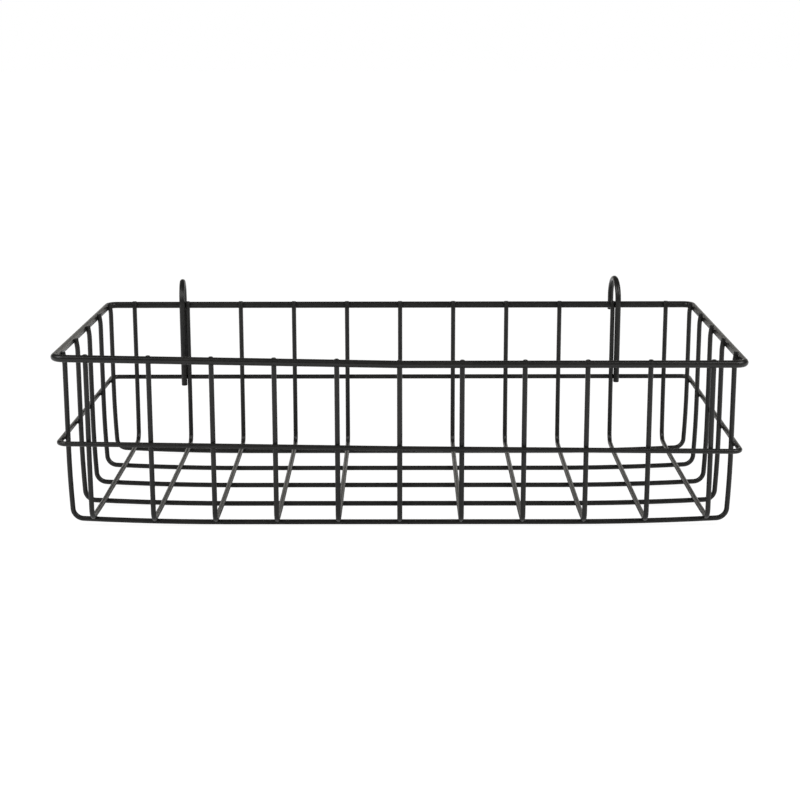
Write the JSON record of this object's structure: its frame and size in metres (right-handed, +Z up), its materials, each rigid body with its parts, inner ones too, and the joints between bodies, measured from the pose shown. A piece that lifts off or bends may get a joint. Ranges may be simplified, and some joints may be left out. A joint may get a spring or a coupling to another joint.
{
  "type": "wall rack basket",
  "caption": "Open rectangular basket of welded, black-coated wire with a thick rim, a thin middle band and rear hooks that hang it on a wall rack.",
  "frame": {"origin": "middle of the basket's floor, on the surface that the basket stands on", "axes": "+X along the basket to the right, +Y to the back where the hooks are, +Z up"},
  "size_m": [0.4018, 0.2253, 0.1194],
  "materials": {
    "black_powder_coat": "satin black powder coat on steel wire"
  },
  "bodies": {
    "root": {"top_rim": "black_powder_coat", "middle_band": "black_powder_coat", "long_wire_1": "black_powder_coat", "long_wire_2": "black_powder_coat", "long_wire_3": "black_powder_coat", "long_wire_4": "black_powder_coat", "long_wire_5": "black_powder_coat", "cross_wire_01": "black_powder_coat", "cross_wire_02": "black_powder_coat", "cross_wire_03": "black_powder_coat", "cross_wire_04": "black_powder_coat", "cross_wire_05": "black_powder_coat", "cross_wire_06": "black_powder_coat", "cross_wire_07": "black_powder_coat", "cross_wire_08": "black_powder_coat", "cross_wire_09": "black_powder_coat", "cross_wire_10": "black_powder_coat", "cross_wire_11": "black_powder_coat", "hook_left": "black_powder_coat", "hook_right": "black_powder_coat"}
  },
  "joints": []
}
